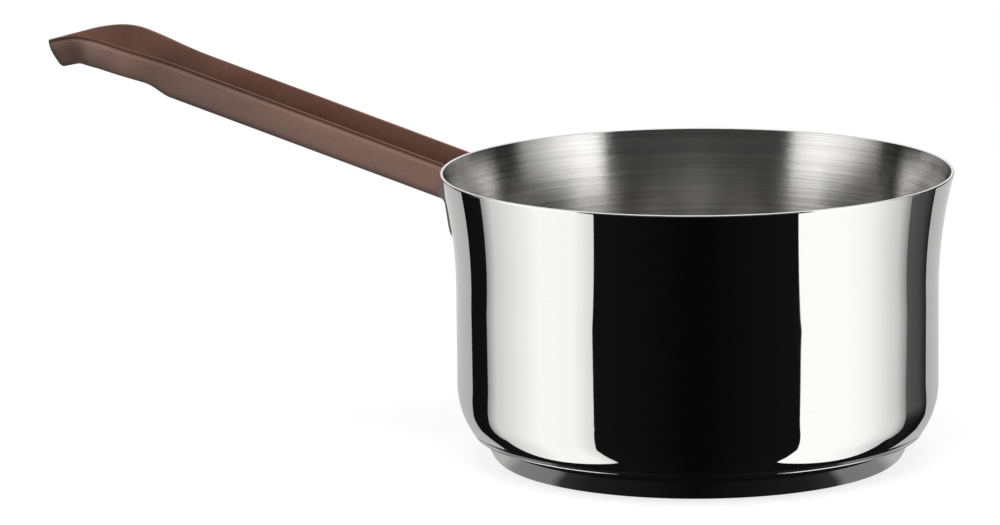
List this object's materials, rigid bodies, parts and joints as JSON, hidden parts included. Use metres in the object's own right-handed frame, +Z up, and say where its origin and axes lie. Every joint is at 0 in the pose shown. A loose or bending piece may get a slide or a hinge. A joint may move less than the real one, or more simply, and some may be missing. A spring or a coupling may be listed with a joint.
{
  "type": "saucepan",
  "caption": "Polished steel saucepan with a flared rim, satin-brushed inside, thick capped base and a long brown sheet-metal handle that opens into a hanging eye",
  "frame": {"origin": "centre of the flat underside of the base, on the axis of the vessel", "axes": "+X points away from the handle, which runs along -X; +Y runs across the handle; +Z is up, along the axis of the vessel"},
  "size_m": [0.2994, 0.16, 0.1263],
  "materials": {
    "polished_steel": "mirror-polished stainless steel outside, satin brushed round inside",
    "aluminium": "plain, enclosed in the base",
    "brown_coat": "satin brown metallic coating with a fine grain along the handle, on steel sheet",
    "bare_steel": "satin steel"
  },
  "bodies": {
    "root": {"vessel": "polished_steel", "base_cap": "polished_steel", "heat_disc": "aluminium", "handle_channel": "brown_coat", "handle_bracket": "bare_steel", "rivet_inner": "bare_steel", "rivet_outer": "bare_steel"}
  },
  "joints": []
}
